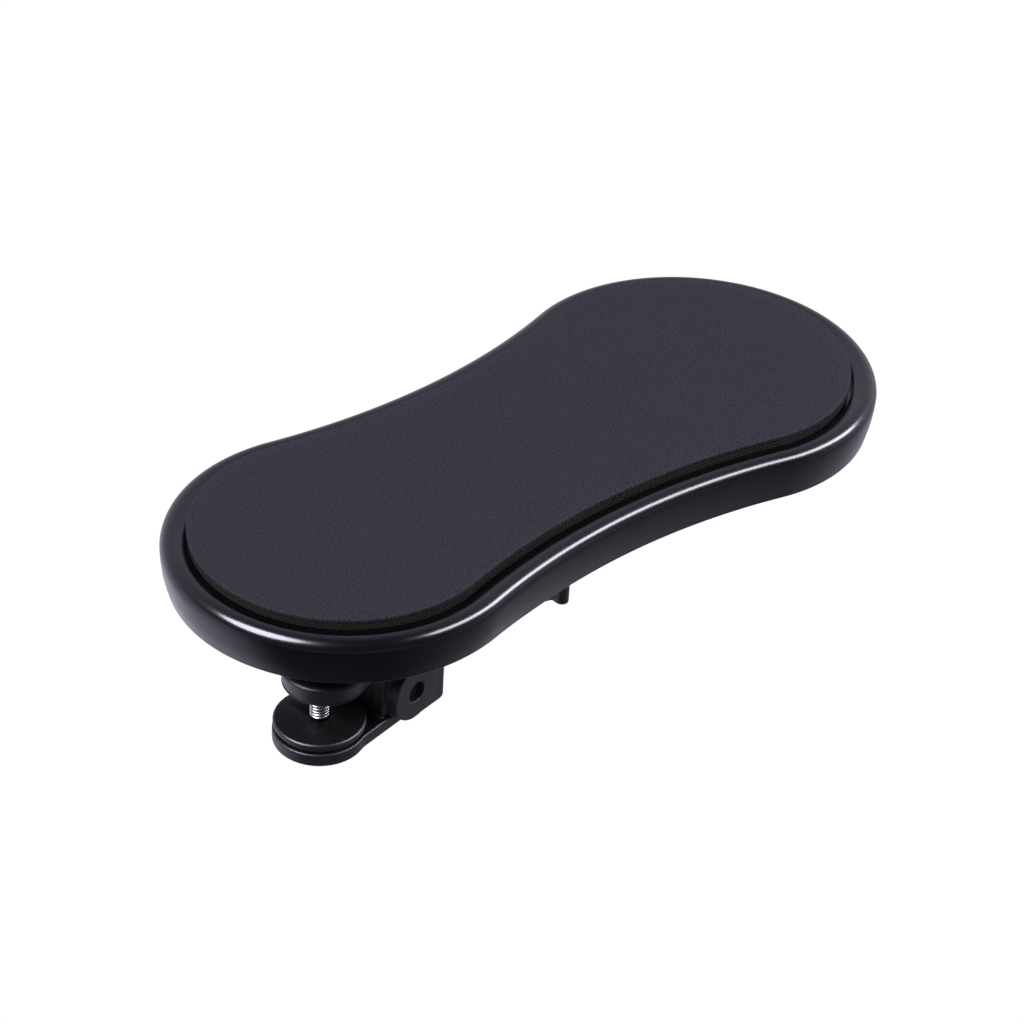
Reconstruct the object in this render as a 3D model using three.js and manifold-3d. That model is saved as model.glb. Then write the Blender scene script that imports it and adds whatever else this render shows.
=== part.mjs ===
// Chair armrest pad: a padded, waisted tray on a swivelling arm that hinges on a small screw clamp.
// Millimetres, +Z up. The origin is on the clamp screw's axis, on the lower jaw's gripping face.
// +X runs along the arm, from the clamp to the swivel under the middle of the tray.
import * as THREE from "three";
import { mergeVertices } from "three/addons/utils/BufferGeometryUtils.js";
import Module from "manifold-3d";

const wasm = await Module();
wasm.setup();

// ---- Driving dimensions ----

const FIT = 0.3; // gap between neighbours that touch
const OVERCUT = 1; // how far a cutting tool runs past the face that it cuts

// Outline of the pad: two round lobes joined by long concave sides.
const PAD_LENGTH = 236;
const NEAR_LOBE_R = 44.4; // the lobe over the clamp
const FAR_LOBE_R = 49;
const WAIST_R = 233; // radius of the concave sides
const COVER_THICKNESS = 1;
const FOAM_THICKNESS = 4.9;
const TRAY_TURN = 8.5; // degrees that the tray is swung from the arm as it is stored

// Tray.
const TRAY_BOTTOM_Z = 36.5;
const TRAY_HEIGHT = 14.4;
const TRAY_LIP = 8.2; // the rim outside the pad's edge
const TRAY_DRAFT = 1.5; // how far the outside wall leans in towards its lower edge
const TRAY_AHEAD = 0.8; // the tray's middle lies this far beyond the pad's, away from the clamp
const TRAY_WALL = 2.6;
const TRAY_SHOULDER_R = 4.8;
const RIM_CHAMFER = 2.2;
const PAD_SIDE_GAP = 1.2; // pad edge to recess wall
const RECESS_DEPTH = 3.9;
const DECK_THICKNESS = 2.5;
const RIB_THICKNESS = 1.8;
const RIB_HEIGHT = 3;
const CROSS_RIB_PITCH = 24;
const CROSS_RIBS_PER_SIDE = 3;
const LONG_RIB_Y = 14;

// Swivel under the tray.
const PLATE_SIDE = 48;
const PLATE_THICKNESS = 2;
const PLATE_CORNER_R = 6;
const PLATE_DROP = 1.4; // plate's upper face below the tray's lower edge
const PLATE_SCREW_PITCH = 35;
const PLATE_SCREW_R = 1.9;
const PLATE_SCREW_HEAD_R = 3.6;
const PLATE_SCREW_HEAD = 1.5;
const PLATE_SCREW_GRIP = 6; // shank length above the plate
const SCREW_BOSS_R = 4.6;
const BOLT_R = 3.9;
const BOLT_HEAD_FLATS = 13;
const BOLT_HEAD_HEIGHT = 5.3;
const BOLT_REACH = 14; // bolt length inside the star knob
const HEAD_POCKET_WALL = 2.2;
const SWIVEL_WASHER_R = 13;
const SWIVEL_WASHER_THICKNESS = 1.5;

// Star knob.
const KNOB_LOBES = 6;
const KNOB_LOBE_WIDTH = 4.4;
const KNOB_TIP_R = 18.3;
const KNOB_BODY_R = 14.1;
const KNOB_HEIGHT = 21.7;
const KNOB_LOBE_HEIGHT = 12.5;
const KNOB_HUB_R = 9;
const KNOB_INSERT_R = 5.9;
const KNOB_FLOOR = 5; // plastic under the insert
const KNOB_WASHER_R = 10;
const KNOB_WASHER_THICKNESS = 1.2;

// Swing arm.
const ARM_LENGTH = 70.5; // hinge pin to swivel
const ARM_THICKNESS = 7;
const ARM_HALF_WIDTH = 11;
const ARM_END_R = 14;
const TONGUE_HALF_WIDTH = 8;
const TONGUE_R = 6.8;
const TONGUE_LEAN = 20.7; // degrees round the tongue's end at which the arm's faces leave it
const ARM_FLARE_START = 16; // from the hinge pin, where the tongue starts to widen
const ARM_FLARE_LENGTH = 7;
const ARM_KNEE = 32; // from the hinge pin, where the arm turns level

// Clamp.
const HINGE_Z = 5.6;
const PIN_R = 3;
const PIN_RECESS = 1.6;
const CHEEK_THICKNESS = 4.6;
const BOSS_R = 9.2;
const BOSS_PROUD = 1.2;
const FORK_WASHER_THICKNESS = 1;
const FORK_WASHER_R = 6;
const FORK_BACK = 10.5; // hinge pin to the front of the fork's neck
const CHEEK_START = 1; // hinge pin to the front of the cheeks
const FORK_FRONT = 14; // hinge pin to the end of the cheeks
const NECK_HALF_WIDTH = 11.5;
const FORK_BOTTOM_Z = -5;
const FORK_EDGE_R = 1.4;
const WEB_HALF_WIDTH = 9;
const THROAT_GAP = 0.4; // foot to web
const NECK_SETBACK = 0.2; // front of the web to front of the fork's neck
const LOWER_JAW_R = 13.6;
const LOWER_JAW_THICKNESS = 4.2;
const LOWER_STRAP_HALF_WIDTH = 12.9;
const UPPER_JAW_R = 12.9;
const UPPER_JAW_AHEAD = 1.9; // the upper round end's centre, past the screw's axis
const UPPER_JAW_Z = 14.8; // underside
const UPPER_JAW_THICKNESS = 7.4;
const UPPER_STRAP_HALF_WIDTH = 11.2;
const JAW_BLEND_R = 12;
const JAW_EDGE_R = 0.5;
const UPPER_EDGE_R = 1.2;
const KNOB_RECESS_GAP = 0.6; // round the screw's knob
const KNOB_RECESS_DEPTH = 3.2;
const JAW_PAD_R = 11;
const JAW_PAD_THICKNESS = 1;

// Clamp screw and its foot.
const SCREW_R = 2.85;
const SCREW_TIP_R = 2.3;
const FOOT_R = 13.4;
const FOOT_THICKNESS = 1.9;
const FOOT_CHAMFER = 0.5;
const FACING_R = 12.6;
const FACING_THICKNESS = 0.8;
const RIVET_R = 3.6;
const RIVET_THICKNESS = 0.5;
const INSERT_R = 4.6;
const SCREW_KNOB_R = 8.4;
const SCREW_KNOB_FLUTE = 0.4;
const SCREW_KNOB_FLUTES = 18;
const SCREW_KNOB_THICKNESS = 6;
const LOCK_NUT_FLATS = 10;
const LOCK_NUT_THICKNESS = 2.4;

// Fineness.
const ROUND_STEPS = 36;
const SMALL_STEPS = 20;
const LOBE_STEPS = 32;
const WAIST_STEPS = 10;
const BEVEL_STEPS = 3;
const LOBE_TIP_STEPS = 8;
const FLUTE_STEPS = 6;
const CORNER_STEPS = 6;

// ---- Places along the arm ----

const throatX = FOOT_R + THROAT_GAP;
const hingeX = throatX + NECK_SETBACK + FORK_BACK;
const swivelX = hingeX + ARM_LENGTH;

// ---- Solids ----

// A closed three.js geometry as a manifold-3d solid.
function solid(geometry) {
  const bare = geometry.clone();
  bare.deleteAttribute("normal");
  bare.deleteAttribute("uv");
  const merged = mergeVertices(bare, 1e-4);
  const index = merged.index.array;
  const triangles = [];
  for (let i = 0; i < index.length; i += 3) {
    const [a, b, c] = [index[i], index[i + 1], index[i + 2]];
    if (a !== b && b !== c && c !== a) triangles.push(a, b, c);
  }
  return new wasm.Manifold(
    new wasm.Mesh({
      numProp: 3,
      vertProperties: new Float32Array(merged.attributes.position.array),
      triVerts: new Uint32Array(triangles),
    }),
  );
}

function geometryOf(shape) {
  const mesh = shape.getMesh();
  const geometry = new THREE.BufferGeometry();
  geometry.setAttribute("position", new THREE.BufferAttribute(mesh.vertProperties, 3));
  geometry.setIndex(new THREE.BufferAttribute(mesh.triVerts, 1));
  geometry.computeVertexNormals();
  return geometry;
}

function joined(first, ...rest) {
  return rest.reduce((sum, part) => sum.add(part), first);
}

function without(first, ...tools) {
  return tools.reduce((rest, tool) => rest.subtract(tool), first);
}

// Points of an arc, without its last one.
function arc(x, y, radius, start, end, steps) {
  return Array.from({ length: steps }, (_, i) => {
    const angle = start + ((end - start) * i) / steps;
    return new THREE.Vector2(x + radius * Math.cos(angle), y + radius * Math.sin(angle));
  });
}

// Points of a short arc, with both its ends.
function closedArc(x, y, radius, start, end) {
  const overrun = start + ((end - start) * (LOBE_TIP_STEPS + 1)) / LOBE_TIP_STEPS;
  return arc(x, y, radius, start, overrun, LOBE_TIP_STEPS + 1);
}

// An outline drawn from above, raised between two heights, with its edges rounded by edge.
function prism(outline, low, high, edge = 0) {
  const geometry = new THREE.ExtrudeGeometry(new THREE.Shape(outline), {
    depth: high - low - 2 * edge,
    bevelEnabled: edge > 0,
    bevelThickness: edge,
    bevelSize: edge,
    bevelOffset: -edge,
    bevelSegments: BEVEL_STEPS,
  });
  geometry.translate(0, 0, low + edge);
  return solid(geometry);
}

// An outline raised from low, where it is smaller by taper, to full size at high and above.
function tapered(outline, low, high, top, taper) {
  const geometry = new THREE.ExtrudeGeometry(new THREE.Shape(outline), {
    depth: top - high,
    bevelEnabled: true,
    bevelThickness: high - low,
    bevelSize: taper,
    bevelOffset: -taper,
    bevelSegments: 1,
  });
  geometry.translate(0, 0, high);
  return solid(geometry);
}

// An outline drawn from the side, as x and z, spread to both sides of the arm's centre plane.
function sideways(outline, halfWidth) {
  const geometry = new THREE.ExtrudeGeometry(new THREE.Shape(outline), {
    depth: 2 * halfWidth,
    bevelEnabled: false,
  });
  geometry.rotateX(Math.PI / 2);
  geometry.translate(0, halfWidth, 0);
  return solid(geometry);
}

function cylinder(radius, low, high, x = 0, y = 0, steps = ROUND_STEPS) {
  const geometry = new THREE.CylinderGeometry(radius, radius, high - low, steps);
  geometry.rotateX(Math.PI / 2);
  geometry.translate(x, y, (low + high) / 2);
  return solid(geometry);
}

// A cylinder along Y, through the hinge.
function crossCylinder(radius, from, to, steps = ROUND_STEPS) {
  const geometry = new THREE.CylinderGeometry(radius, radius, to - from, steps);
  geometry.translate(hingeX, (from + to) / 2, HINGE_Z);
  return solid(geometry);
}

function block(x, y, z) {
  const geometry = new THREE.BoxGeometry(x[1] - x[0], y[1] - y[0], z[1] - z[0]);
  geometry.translate((x[0] + x[1]) / 2, (y[0] + y[1]) / 2, (z[0] + z[1]) / 2);
  return solid(geometry);
}

// A round piece from its profile of radius and height, listed upwards along the outside.
function turned(profile) {
  const points = profile.map(([radius, height]) => new THREE.Vector2(radius, height));
  const geometry = new THREE.LatheGeometry(points, ROUND_STEPS);
  geometry.rotateX(Math.PI / 2);
  return solid(geometry);
}

function washer(radius, bore, low, high) {
  return without(
    cylinder(radius, low, high),
    cylinder(bore, low - OVERCUT, high + OVERCUT, 0, 0, SMALL_STEPS),
  );
}

function hexagon(flats) {
  return arc(0, 0, flats / Math.sqrt(3), 0, 2 * Math.PI, 6);
}

function roundedRectangle(halfX, halfY, radius) {
  const corners = [
    [halfX, -halfY],
    [halfX, halfY],
    [-halfX, halfY],
    [-halfX, -halfY],
  ];
  return corners.flatMap(([x, y], i) =>
    arc(
      x - Math.sign(x) * radius,
      y - Math.sign(y) * radius,
      radius,
      ((i - 1) * Math.PI) / 2,
      (i * Math.PI) / 2,
      CORNER_STEPS,
    ),
  );
}

// The pad's outline in the tray's frame, grown by offset.
function padOutline(offset) {
  const nearX = -PAD_LENGTH / 2 + NEAR_LOBE_R;
  const farX = PAD_LENGTH / 2 - FAR_LOBE_R;
  const span = farX - nearX;
  const toNear = WAIST_R + NEAR_LOBE_R;
  const toFar = WAIST_R + FAR_LOBE_R;
  const along = (toNear ** 2 - toFar ** 2 + span ** 2) / (2 * span);
  const across = Math.sqrt(toNear ** 2 - along ** 2);
  const nearAngle = Math.atan2(across, along);
  const farAngle = Math.atan2(across, along - span);
  const waistX = nearX + along;
  const waistR = WAIST_R - offset;
  return [
    ...arc(farX, 0, FAR_LOBE_R + offset, -farAngle, farAngle, LOBE_STEPS),
    ...arc(waistX, across, waistR, farAngle - Math.PI, nearAngle - Math.PI, WAIST_STEPS),
    ...arc(nearX, 0, NEAR_LOBE_R + offset, nearAngle, 2 * Math.PI - nearAngle, LOBE_STEPS),
    ...arc(waistX, -across, waistR, Math.PI - nearAngle, Math.PI - farAngle, WAIST_STEPS),
  ];
}

// A jaw from above: a round end centred at x, blended into a strap that runs to endX.
function jawOutline(x, radius, halfWidth, endX) {
  const reach = Math.sqrt((radius + JAW_BLEND_R) ** 2 - (halfWidth + JAW_BLEND_R) ** 2);
  const blendX = x + reach;
  const blendY = halfWidth + JAW_BLEND_R;
  const turn = Math.atan2(blendY, reach);
  return [
    ...arc(x, 0, radius, turn, 2 * Math.PI - turn, ROUND_STEPS),
    ...arc(blendX, -blendY, JAW_BLEND_R, Math.PI - turn, Math.PI / 2, CORNER_STEPS),
    new THREE.Vector2(blendX, -halfWidth),
    new THREE.Vector2(endX, -halfWidth),
    new THREE.Vector2(endX, halfWidth),
    ...arc(blendX, blendY, JAW_BLEND_R, -Math.PI / 2, turn - Math.PI, CORNER_STEPS),
  ];
}

// A round outline whose radius swings between two values, count times.
function flutedOutline(inner, outer, count, steps) {
  return Array.from({ length: count * steps }, (_, i) => {
    const angle = (2 * Math.PI * i) / (count * steps);
    const swing = Math.cos((2 * Math.PI * i) / steps);
    const radius = (inner + outer) / 2 + ((outer - inner) / 2) * swing;
    return new THREE.Vector2(radius * Math.cos(angle), radius * Math.sin(angle));
  });
}

// A star from above: a round body with round-ended lobes, one of them pointing along -Y.
function starOutline(bodyR, tipR, lobeWidth, lobes) {
  const half = lobeWidth / 2;
  const rootAngle = Math.asin(half / bodyR);
  const pitch = (2 * Math.PI) / lobes;
  const points = [];
  for (let i = 0; i < lobes; i += 1) {
    const middle = i * pitch - Math.PI / 2;
    const tipX = (tipR - half) * Math.cos(middle);
    const tipY = (tipR - half) * Math.sin(middle);
    points.push(
      ...closedArc(tipX, tipY, half, middle - Math.PI / 2, middle + Math.PI / 2),
      ...closedArc(0, 0, bodyR, middle + rootAngle, middle + pitch - rootAngle),
    );
  }
  return points;
}

// ---- Heights that follow from the stack ----

const rimZ = TRAY_BOTTOM_Z + TRAY_HEIGHT;
const deckZ = rimZ - RECESS_DEPTH;
const ceilingZ = deckZ - DECK_THICKNESS;
const plateTopZ = TRAY_BOTTOM_Z - PLATE_DROP;
const plateBottomZ = plateTopZ - PLATE_THICKNESS;
const armTopZ = plateBottomZ - SWIVEL_WASHER_THICKNESS - 2 * FIT;
const armBottomZ = armTopZ - ARM_THICKNESS;
const knobWasherZ = armBottomZ - FIT - KNOB_WASHER_THICKNESS;
const knobTopZ = knobWasherZ - FIT;
const knobBottomZ = knobTopZ - KNOB_HEIGHT;
const facingZ = FIT;
const footZ = facingZ + FACING_THICKNESS + FIT;
const footTopZ = footZ + FOOT_THICKNESS;
const upperJawTopZ = UPPER_JAW_Z + UPPER_JAW_THICKNESS;
const recessZ = upperJawTopZ - KNOB_RECESS_DEPTH;
const screwKnobZ = recessZ + FIT;
const screwKnobTopZ = screwKnobZ + SCREW_KNOB_THICKNESS;
const slotHalfWidth = TONGUE_HALF_WIDTH + FORK_WASHER_THICKNESS + 2 * FIT;
const cheekY = slotHalfWidth + CHEEK_THICKNESS;

// ---- Clamp ----

function makeClampFrame() {
  const neckStart = hingeX - FORK_BACK;
  const cheekStart = hingeX + CHEEK_START;
  const forkEnd = hingeX + FORK_FRONT;
  const lower = prism(
    jawOutline(0, LOWER_JAW_R, LOWER_STRAP_HALF_WIDTH, cheekStart + OVERCUT),
    -LOWER_JAW_THICKNESS,
    0,
    JAW_EDGE_R,
  );
  const upper = prism(
    jawOutline(UPPER_JAW_AHEAD, UPPER_JAW_R, UPPER_STRAP_HALF_WIDTH, cheekStart + OVERCUT),
    UPPER_JAW_Z,
    upperJawTopZ,
    UPPER_EDGE_R,
  );
  const webHeights = [-LOWER_JAW_THICKNESS + JAW_EDGE_R, upperJawTopZ - UPPER_EDGE_R];
  const web = block(
    [throatX, neckStart + OVERCUT],
    [-WEB_HALF_WIDTH, WEB_HALF_WIDTH],
    webHeights,
  );
  const neck = block(
    [neckStart, cheekStart + OVERCUT],
    [-NECK_HALF_WIDTH, NECK_HALF_WIDTH],
    webHeights,
  );
  const cheekSide = roundedRectangle(
    (forkEnd - cheekStart) / 2,
    (upperJawTopZ - FORK_BOTTOM_Z) / 2,
    FORK_EDGE_R,
  );
  const cheekMiddle = new THREE.Vector2(
    (cheekStart + forkEnd) / 2,
    (upperJawTopZ + FORK_BOTTOM_Z) / 2,
  );
  const cheeks = sideways(
    cheekSide.map((point) => point.add(cheekMiddle)),
    cheekY,
  );
  const bosses = crossCylinder(BOSS_R, -cheekY - BOSS_PROUD, cheekY + BOSS_PROUD);
  const slot = block(
    [hingeX - TONGUE_R - 2 * FIT, forkEnd + OVERCUT],
    [-slotHalfWidth, slotHalfWidth],
    [-LOWER_JAW_THICKNESS - OVERCUT, upperJawTopZ + OVERCUT],
  );
  const outerY = cheekY + BOSS_PROUD + OVERCUT;
  return without(
    joined(lower, upper, web, neck, cheeks, bosses),
    slot,
    crossCylinder(PIN_R + FIT, -outerY, outerY, SMALL_STEPS),
    cylinder(SCREW_KNOB_R + KNOB_RECESS_GAP, recessZ, upperJawTopZ + OVERCUT),
    cylinder(INSERT_R + FIT, UPPER_JAW_Z - OVERCUT, recessZ + OVERCUT, 0, 0, SMALL_STEPS),
    cylinder(JAW_PAD_R + FIT, -JAW_PAD_THICKNESS - FIT, OVERCUT),
  );
}

function makeForkWasher(side) {
  const inner = TONGUE_HALF_WIDTH + FIT;
  const outer = inner + FORK_WASHER_THICKNESS;
  const from = side > 0 ? inner : -outer;
  return without(
    crossCylinder(FORK_WASHER_R, from, from + FORK_WASHER_THICKNESS),
    crossCylinder(PIN_R + FIT, from - OVERCUT, from + FORK_WASHER_THICKNESS + OVERCUT, SMALL_STEPS),
  );
}

function makeHingePin() {
  const reach = cheekY + BOSS_PROUD - PIN_RECESS;
  return crossCylinder(PIN_R, -reach, reach, SMALL_STEPS);
}

// ---- Clamp screw and foot ----

function makePressureDisc() {
  const top = footTopZ;
  const rivetCeiling = footZ + RIVET_THICKNESS + 2 * FIT;
  return without(
    turned([
      [0, footZ],
      [FOOT_R - FOOT_CHAMFER / 2, footZ],
      [FOOT_R, footZ + FOOT_CHAMFER / 2],
      [FOOT_R, top - FOOT_CHAMFER],
      [FOOT_R - FOOT_CHAMFER, top],
      [0, top],
    ]),
    cylinder(RIVET_R + FIT, footZ - OVERCUT, rivetCeiling, 0, 0, SMALL_STEPS),
    cylinder(SCREW_TIP_R + FIT, footZ, top + OVERCUT, 0, 0, SMALL_STEPS),
  );
}

// The screw's lower end is turned down, passes through the foot and is riveted over inside it.
function makeScrewRod() {
  const shoulderZ = footTopZ + FIT;
  const rivetZ = footZ + FIT;
  return joined(
    cylinder(RIVET_R, rivetZ, rivetZ + RIVET_THICKNESS, 0, 0, SMALL_STEPS),
    cylinder(SCREW_TIP_R, rivetZ, shoulderZ + OVERCUT, 0, 0, SMALL_STEPS),
    cylinder(SCREW_R, shoulderZ, screwKnobTopZ, 0, 0, SMALL_STEPS),
  );
}

function makeScrewKnob() {
  const outline = flutedOutline(
    SCREW_KNOB_R - SCREW_KNOB_FLUTE,
    SCREW_KNOB_R,
    SCREW_KNOB_FLUTES,
    FLUTE_STEPS,
  );
  return without(
    prism(outline, screwKnobZ, screwKnobTopZ),
    cylinder(SCREW_R + FIT, screwKnobZ - OVERCUT, screwKnobTopZ + OVERCUT, 0, 0, SMALL_STEPS),
    prism(
      hexagon(LOCK_NUT_FLATS + 2 * FIT),
      screwKnobTopZ - LOCK_NUT_THICKNESS - FIT,
      screwKnobTopZ + OVERCUT,
    ),
  );
}

function makeLockNut() {
  const low = screwKnobTopZ - LOCK_NUT_THICKNESS;
  return without(
    prism(hexagon(LOCK_NUT_FLATS), low, screwKnobTopZ),
    cylinder(SCREW_R + FIT, low - OVERCUT, screwKnobTopZ + OVERCUT, 0, 0, SMALL_STEPS),
  );
}

// ---- Swing arm ----

function makeSwingArm() {
  const kneeX = hingeX + ARM_KNEE;
  const endX = swivelX + ARM_END_R + OVERCUT;
  const lean = THREE.MathUtils.degToRad(TONGUE_LEAN);
  const leanX = TONGUE_R * Math.sin(lean);
  const leanZ = TONGUE_R * Math.cos(lean);
  const profile = [
    new THREE.Vector2(hingeX + leanX, HINGE_Z - leanZ),
    new THREE.Vector2(kneeX + ARM_THICKNESS / 2, armBottomZ),
    new THREE.Vector2(endX, armBottomZ),
    new THREE.Vector2(endX, armTopZ),
    new THREE.Vector2(kneeX - ARM_THICKNESS / 2, armTopZ),
    new THREE.Vector2(hingeX - leanX, HINGE_Z + leanZ),
  ];
  const side = joined(
    sideways(profile, ARM_END_R + OVERCUT),
    crossCylinder(TONGUE_R, -ARM_END_R, ARM_END_R),
  );
  const flareX = hingeX + ARM_FLARE_START;
  const wideX = flareX + ARM_FLARE_LENGTH;
  const tongueX = hingeX - TONGUE_R - OVERCUT;
  const plan = prism(
    [
      new THREE.Vector2(tongueX, -TONGUE_HALF_WIDTH),
      new THREE.Vector2(flareX, -TONGUE_HALF_WIDTH),
      new THREE.Vector2(wideX, -ARM_HALF_WIDTH),
      new THREE.Vector2(swivelX, -ARM_HALF_WIDTH),
      new THREE.Vector2(swivelX, ARM_HALF_WIDTH),
      new THREE.Vector2(wideX, ARM_HALF_WIDTH),
      new THREE.Vector2(flareX, TONGUE_HALF_WIDTH),
      new THREE.Vector2(tongueX, TONGUE_HALF_WIDTH),
    ],
    HINGE_Z - TONGUE_R - OVERCUT,
    armTopZ + OVERCUT,
  );
  const end = cylinder(ARM_END_R, armBottomZ - OVERCUT, armTopZ + OVERCUT, swivelX);
  return without(
    side.intersect(joined(plan, end)),
    cylinder(BOLT_R + FIT, armBottomZ - OVERCUT, armTopZ + OVERCUT, swivelX, 0, SMALL_STEPS),
    crossCylinder(PIN_R + FIT, -ARM_END_R - OVERCUT, ARM_END_R + OVERCUT, SMALL_STEPS),
  );
}

// ---- Tray, in its own frame with the swivel at the origin ----

function plateScrewPlaces() {
  const half = PLATE_SCREW_PITCH / 2;
  return [
    [-half, -half],
    [half, -half],
    [half, half],
    [-half, half],
  ];
}

function makeRibs() {
  const low = ceilingZ - RIB_HEIGHT;
  const high = ceilingZ + OVERCUT;
  const half = RIB_THICKNESS / 2;
  const reach = PAD_LENGTH / 2;
  const ribs = [];
  for (const side of [-1, 1]) {
    const y = side * LONG_RIB_Y;
    ribs.push(block([-reach, reach], [y - half, y + half], [low, high]));
    for (let i = 1; i <= CROSS_RIBS_PER_SIDE; i += 1) {
      const x = side * (PLATE_SIDE / 2 - CROSS_RIB_PITCH / 2 + i * CROSS_RIB_PITCH);
      ribs.push(block([x - half, x + half], [-reach, reach], [low, high]));
    }
  }
  return joined(...ribs);
}

function makeTray() {
  const outside = padOutline(TRAY_LIP);
  const hollowOffset = TRAY_LIP - TRAY_DRAFT - TRAY_WALL;
  const body = prism(outside, TRAY_BOTTOM_Z - TRAY_SHOULDER_R, rimZ, TRAY_SHOULDER_R).intersect(
    tapered(
      padOutline(TRAY_LIP + FIT),
      TRAY_BOTTOM_Z,
      rimZ - TRAY_SHOULDER_R,
      rimZ + OVERCUT,
      TRAY_DRAFT + FIT,
    ),
  );
  const seat = prism(padOutline(PAD_SIDE_GAP), deckZ, rimZ + OVERCUT);
  const chamfer = tapered(
    padOutline(PAD_SIDE_GAP + RIM_CHAMFER + OVERCUT),
    rimZ - RIM_CHAMFER - OVERCUT,
    rimZ + OVERCUT,
    rimZ + 2 * OVERCUT,
    RIM_CHAMFER + 2 * OVERCUT,
  );
  const hollow = prism(
    padOutline(hollowOffset),
    TRAY_BOTTOM_Z - OVERCUT,
    ceilingZ,
  );
  const bossLow = plateTopZ + FIT;
  const ribs = makeRibs().intersect(
    prism(padOutline(hollowOffset + OVERCUT), TRAY_BOTTOM_Z, ceilingZ + OVERCUT),
  );
  const bosses = plateScrewPlaces().map(([x, y]) =>
    cylinder(SCREW_BOSS_R, bossLow, ceilingZ + OVERCUT, x, y, SMALL_STEPS),
  );
  const pocketR = BOLT_HEAD_FLATS / Math.sqrt(3) + HEAD_POCKET_WALL + FIT;
  const headPocket = cylinder(pocketR, TRAY_BOTTOM_Z, ceilingZ + OVERCUT);
  const screwHoles = plateScrewPlaces().map(([x, y]) =>
    cylinder(
      PLATE_SCREW_R + FIT,
      bossLow - OVERCUT,
      plateTopZ + PLATE_SCREW_GRIP + FIT,
      x,
      y,
      SMALL_STEPS,
    ),
  );
  const shell = joined(without(body, seat, chamfer, hollow), ribs);
  return without(
    joined(shell.translate([TRAY_AHEAD, 0, 0]), ...bosses, headPocket),
    prism(
      hexagon(BOLT_HEAD_FLATS + 2 * FIT),
      TRAY_BOTTOM_Z - OVERCUT,
      plateTopZ + BOLT_HEAD_HEIGHT + 2 * FIT,
    ),
    ...screwHoles,
  );
}

function makeSwivelPlate() {
  const holes = plateScrewPlaces().map(([x, y]) =>
    cylinder(
      PLATE_SCREW_R + FIT,
      plateBottomZ - OVERCUT,
      plateTopZ + OVERCUT,
      x,
      y,
      SMALL_STEPS,
    ),
  );
  return without(
    prism(
      roundedRectangle(PLATE_SIDE / 2, PLATE_SIDE / 2, PLATE_CORNER_R),
      plateBottomZ,
      plateTopZ,
    ),
    cylinder(BOLT_R + FIT, plateBottomZ - OVERCUT, plateTopZ + OVERCUT, 0, 0, SMALL_STEPS),
    ...holes,
  );
}

function makePlateScrew(x, y) {
  const headTop = plateBottomZ - FIT;
  const headBottom = headTop - PLATE_SCREW_HEAD + FIT;
  return joined(
    cylinder(PLATE_SCREW_HEAD_R, headBottom, headTop, x, y, SMALL_STEPS),
    cylinder(PLATE_SCREW_R, headBottom, plateTopZ + PLATE_SCREW_GRIP, x, y, SMALL_STEPS),
  );
}

function makeSwivelBolt() {
  const headZ = plateTopZ + FIT;
  return joined(
    prism(hexagon(BOLT_HEAD_FLATS), headZ, headZ + BOLT_HEAD_HEIGHT - FIT),
    cylinder(BOLT_R, knobTopZ - BOLT_REACH, headZ + OVERCUT, 0, 0, SMALL_STEPS),
  );
}

// ---- Star knob ----

function makeStarKnob() {
  const star = starOutline(KNOB_BODY_R, KNOB_TIP_R, KNOB_LOBE_WIDTH, KNOB_LOBES);
  return without(
    joined(
      prism(star, knobBottomZ, knobBottomZ + KNOB_LOBE_HEIGHT),
      cylinder(KNOB_HUB_R, knobBottomZ + OVERCUT, knobTopZ),
    ),
    cylinder(KNOB_INSERT_R + FIT, knobBottomZ + KNOB_FLOOR, knobTopZ + OVERCUT),
  );
}

// ---- Pad ----

const foamZ = deckZ + FIT;
const coverZ = foamZ + FOAM_THICKNESS + FIT;

// ---- The assembly ----

const BLACK_NYLON = { color: 0x121214, roughness: 0.45, metalness: 0 };
const GLOSSY_BLACK = { color: 0x0b0b0d, roughness: 0.18, metalness: 0 };
const BRIGHT_STEEL = { color: 0xb9bcc0, roughness: 0.3, metalness: 1 };
const DARK_STEEL = { color: 0x2a2b2e, roughness: 0.4, metalness: 1 };
const BRASS = { color: 0xb08a3c, roughness: 0.35, metalness: 1 };
const RUBBER = { color: 0x0d0d0e, roughness: 0.9, metalness: 0 };
const LEATHERETTE = { color: 0x34323b, roughness: 0.6, metalness: 0 };
const WOVEN_EDGE = { color: 0x0a0a0b, roughness: 0.95, metalness: 0 };

function addPiece(parent, name, shape, look) {
  const mesh = new THREE.Mesh(geometryOf(shape), new THREE.MeshStandardMaterial(look));
  mesh.name = name;
  parent.add(mesh);
}

const armrest = new THREE.Group();

const clamp = new THREE.Group();
armrest.add(clamp);
addPiece(clamp, "clamp_frame", makeClampFrame(), BLACK_NYLON);
addPiece(
  clamp,
  "thread_insert",
  washer(INSERT_R, SCREW_R + FIT, UPPER_JAW_Z, recessZ),
  BRASS,
);
addPiece(
  clamp,
  "lower_jaw_pad",
  cylinder(JAW_PAD_R, -JAW_PAD_THICKNESS, 0),
  RUBBER,
);
addPiece(clamp, "hinge_pin", makeHingePin(), DARK_STEEL);
addPiece(clamp, "fork_washer_left", makeForkWasher(1), BRIGHT_STEEL);
addPiece(clamp, "fork_washer_right", makeForkWasher(-1), BRIGHT_STEEL);

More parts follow.
